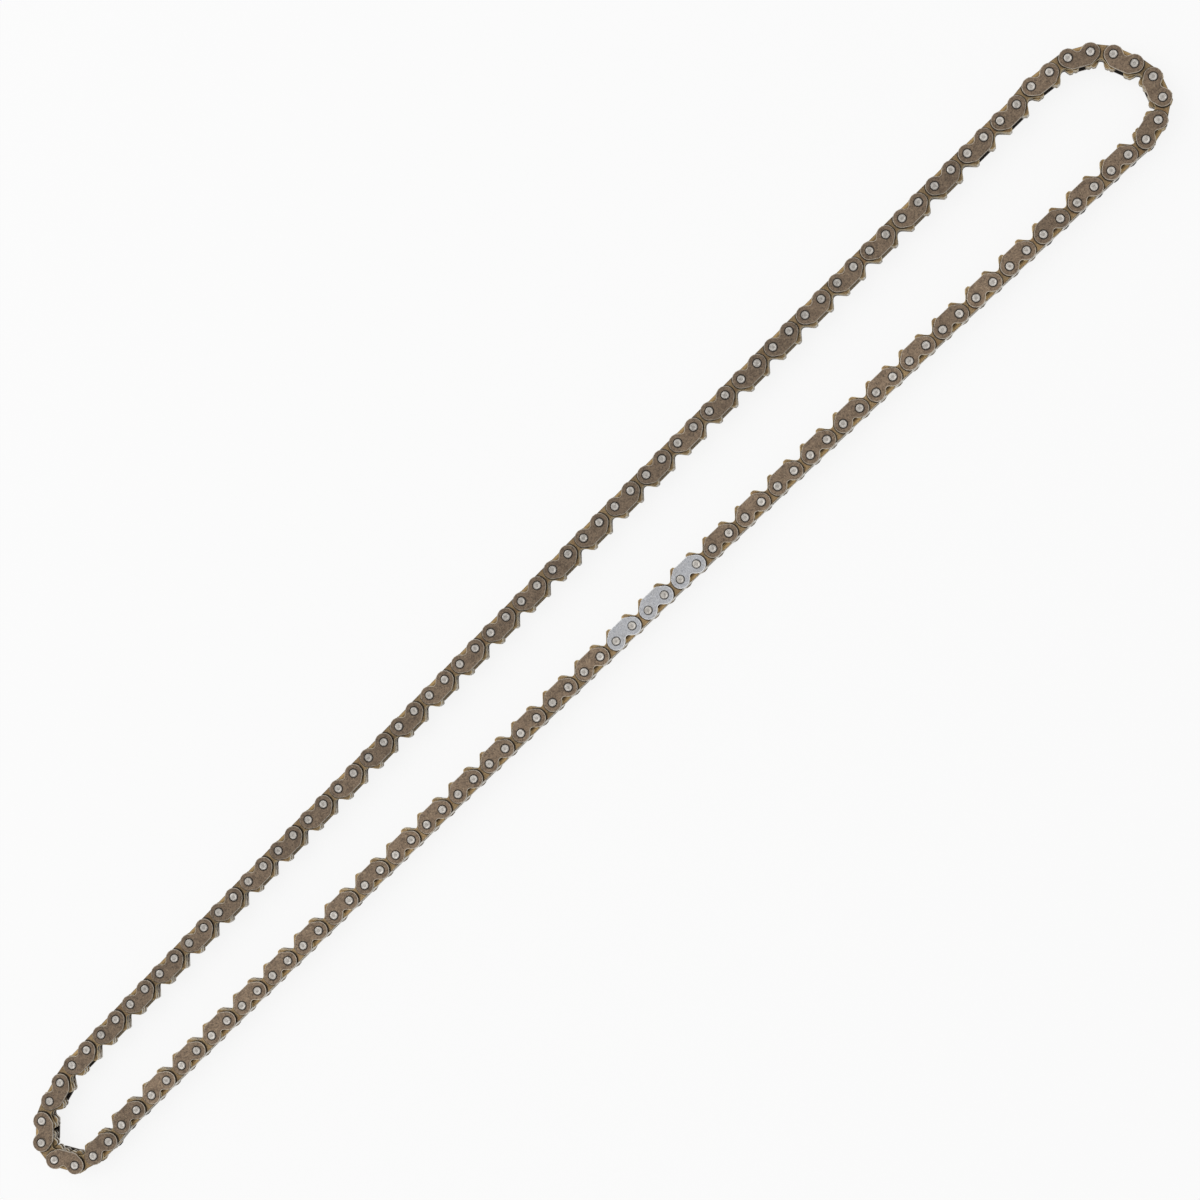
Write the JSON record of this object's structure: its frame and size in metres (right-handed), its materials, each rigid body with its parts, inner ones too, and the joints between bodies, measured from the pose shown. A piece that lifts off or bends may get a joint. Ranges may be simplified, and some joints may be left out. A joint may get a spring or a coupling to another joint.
{
  "type": "silent cam chain",
  "caption": "Endless silent cam chain: toothed plates laced on riveted pins between guide plates, lying flat as a long narrow loop with teeth inward.",
  "frame": {"origin": "centre of the loop's box, on the surface that the pin ends stand on", "axes": "+X along the loop towards its wider end, +Y towards the back run, +Z along the pins"},
  "size_m": [0.4476, 0.0385, 0.0073],
  "materials": {
    "guide_plate": "hardened, oil-brown, satin",
    "toothed_plate": "heat-tinted golden brown, ground edges",
    "marker_plate": "bright zinc-grey, satin",
    "pin": "bright riveted ends"
  },
  "bodies": {
    "left_end": {"left_end_guide_plates": "guide_plate", "left_end_toothed_plates": "toothed_plate", "left_end_pins": "pin"},
    "right_end": {"right_end_guide_plates": "guide_plate", "right_end_toothed_plates": "toothed_plate", "right_end_pins": "pin"},
    "front_run_1": {"front_run_1_guide_plates": "guide_plate", "front_run_1_toothed_plates": "toothed_plate", "front_run_1_pins": "pin"},
    "front_run_2": {"front_run_2_guide_plates": "guide_plate", "front_run_2_toothed_plates": "toothed_plate", "front_run_2_pins": "pin"},
    "front_run_3": {"front_run_3_guide_plates": "guide_plate", "front_run_3_toothed_plates": "toothed_plate", "front_run_3_pins": "pin"},
    "front_run_4": {"front_run_4_guide_plates": "guide_plate", "front_run_4_toothed_plates": "toothed_plate", "front_run_4_pins": "pin", "marker_plate_a": "marker_plate"},
    "front_run_5": {"front_run_5_guide_plates": "guide_plate", "front_run_5_toothed_plates": "toothed_plate", "front_run_5_pins": "pin", "marker_plate_b": "marker_plate", "marker_plate_c": "marker_plate"},
    "front_run_6": {"front_run_6_guide_plates": "guide_plate", "front_run_6_toothed_plates": "toothed_plate", "front_run_6_pins": "pin"},
    "front_run_7": {"front_run_7_guide_plates": "guide_plate", "front_run_7_toothed_plates": "toothed_plate", "front_run_7_pins": "pin"},
    "back_run_1": {"back_run_1_guide_plates": "guide_plate", "back_run_1_toothed_plates": "toothed_plate", "back_run_1_pins": "pin"},
    "back_run_2": {"back_run_2_guide_plates": "guide_plate", "back_run_2_toothed_plates": "toothed_plate", "back_run_2_pins": "pin"},
    "back_run_3": {"back_run_3_guide_plates": "guide_plate", "back_run_3_toothed_plates": "toothed_plate", "back_run_3_pins": "pin"},
    "back_run_4": {"back_run_4_guide_plates": "guide_plate", "back_run_4_toothed_plates": "toothed_plate", "back_run_4_pins": "pin"},
    "back_run_5": {"back_run_5_guide_plates": "guide_plate", "back_run_5_toothed_plates": "toothed_plate", "back_run_5_pins": "pin"},
    "back_run_6": {"back_run_6_guide_plates": "guide_plate", "back_run_6_toothed_plates": "toothed_plate", "back_run_6_pins": "pin"},
    "back_run_7": {"back_run_7_guide_plates": "guide_plate", "back_run_7_toothed_plates": "toothed_plate", "back_run_7_pins": "pin"}
  },
  "joints": [
    {"name": "front_hinge_1", "type": "hinge", "parent": "left_end", "child": "front_run_1", "pos_m": [-0.18614, -0.01119, 0.00363], "axis": [0, 0, 1], "range_deg": [-3.5, 3.5]},
    {"name": "front_hinge_2", "type": "hinge", "parent": "front_run_1", "child": "front_run_2", "pos_m": [-0.13534, -0.01121, 0.00363], "axis": [0, 0, 1], "range_deg": [-3.5, 3.5]},
    {"name": "front_hinge_3", "type": "hinge", "parent": "front_run_2", "child": "front_run_3", "pos_m": [-0.08454, -0.01141, 0.00363], "axis": [0, 0, 1], "range_deg": [-3.5, 3.5]},
    {"name": "front_hinge_4", "type": "hinge", "parent": "front_run_3", "child": "front_run_4", "pos_m": [-0.03374, -0.0118, 0.00363], "axis": [0, 0, 1], "range_deg": [-3.5, 3.5]},
    {"name": "front_hinge_5", "type": "hinge", "parent": "front_run_4", "child": "front_run_5", "pos_m": [0.01706, -0.01238, 0.00363], "axis": [0, 0, 1], "range_deg": [-3.5, 3.5]},
    {"name": "front_hinge_6", "type": "hinge", "parent": "front_run_5", "child": "front_run_6", "pos_m": [0.06785, -0.01316, 0.00363], "axis": [0, 0, 1], "range_deg": [-3.5, 3.5]},
    {"name": "front_hinge_7", "type": "hinge", "parent": "front_run_6", "child": "front_run_7", "pos_m": [0.11864, -0.01412, 0.00363], "axis": [0, 0, 1], "range_deg": [-3.5, 3.5]},
    {"name": "front_hinge_8", "type": "hinge", "parent": "front_run_7", "child": "right_end", "pos_m": [0.16943, -0.01527, 0.00363], "axis": [0, 0, 1], "range_deg": [-3.5, 3.5]},
    {"name": "back_hinge_1", "type": "hinge", "parent": "left_end", "child": "back_run_1", "pos_m": [-0.18503, 0.01184, 0.00363], "axis": [0, 0, 1], "range_deg": [-3.5, 3.5]},
    {"name": "back_hinge_2", "type": "hinge", "parent": "back_run_1", "child": "back_run_2", "pos_m": [-0.13424, 0.01299, 0.00363], "axis": [0, 0, 1], "range_deg": [-3.5, 3.5]},
    {"name": "back_hinge_3", "type": "hinge", "parent": "back_run_2", "child": "back_run_3", "pos_m": [-0.08345, 0.01396, 0.00363], "axis": [0, 0, 1], "range_deg": [-3.5, 3.5]},
    {"name": "back_hinge_4", "type": "hinge", "parent": "back_run_3", "child": "back_run_4", "pos_m": [-0.03266, 0.01473, 0.00363], "axis": [0, 0, 1], "range_deg": [-3.5, 3.5]},
    {"name": "back_hinge_5", "type": "hinge", "parent": "back_run_4", "child": "back_run_5", "pos_m": [0.01814, 0.01531, 0.00363], "axis": [0, 0, 1], "range_deg": [-3.5, 3.5]},
    {"name": "back_hinge_6", "type": "hinge", "parent": "back_run_5", "child": "back_run_6", "pos_m": [0.06894, 0.01571, 0.00363], "axis": [0, 0, 1], "range_deg": [-3.5, 3.5]},
    {"name": "back_hinge_7", "type": "hinge", "parent": "back_run_6", "child": "back_run_7", "pos_m": [0.11974, 0.01591, 0.00363], "axis": [0, 0, 1], "range_deg": [-3.5, 3.5]}
  ],
  "couplings": [
    {"joint": "front_hinge_3", "follows": "front_hinge_1", "ratio": -1},
    {"joint": "front_hinge_4", "follows": "front_hinge_2", "ratio": -1},
    {"joint": "front_hinge_5", "follows": "front_hinge_2", "ratio": -1},
    {"joint": "front_hinge_6", "follows": "front_hinge_1", "ratio": -1},
    {"joint": "front_hinge_7", "follows": "front_hinge_2", "ratio": 1},
    {"joint": "front_hinge_8", "follows": "front_hinge_1", "ratio": 1},
    {"joint": "back_hinge_1", "follows": "front_hinge_1", "ratio": 1},
    {"joint": "back_hinge_2", "follows": "front_hinge_2", "ratio": 1},
    {"joint": "back_hinge_3", "follows": "front_hinge_1", "ratio": -1},
    {"joint": "back_hinge_4", "follows": "front_hinge_2", "ratio": -1},
    {"joint": "back_hinge_5", "follows": "front_hinge_2", "ratio": -1},
    {"joint": "back_hinge_6", "follows": "front_hinge_1", "ratio": -1},
    {"joint": "back_hinge_7", "follows": "front_hinge_2", "ratio": 1}
  ]
}
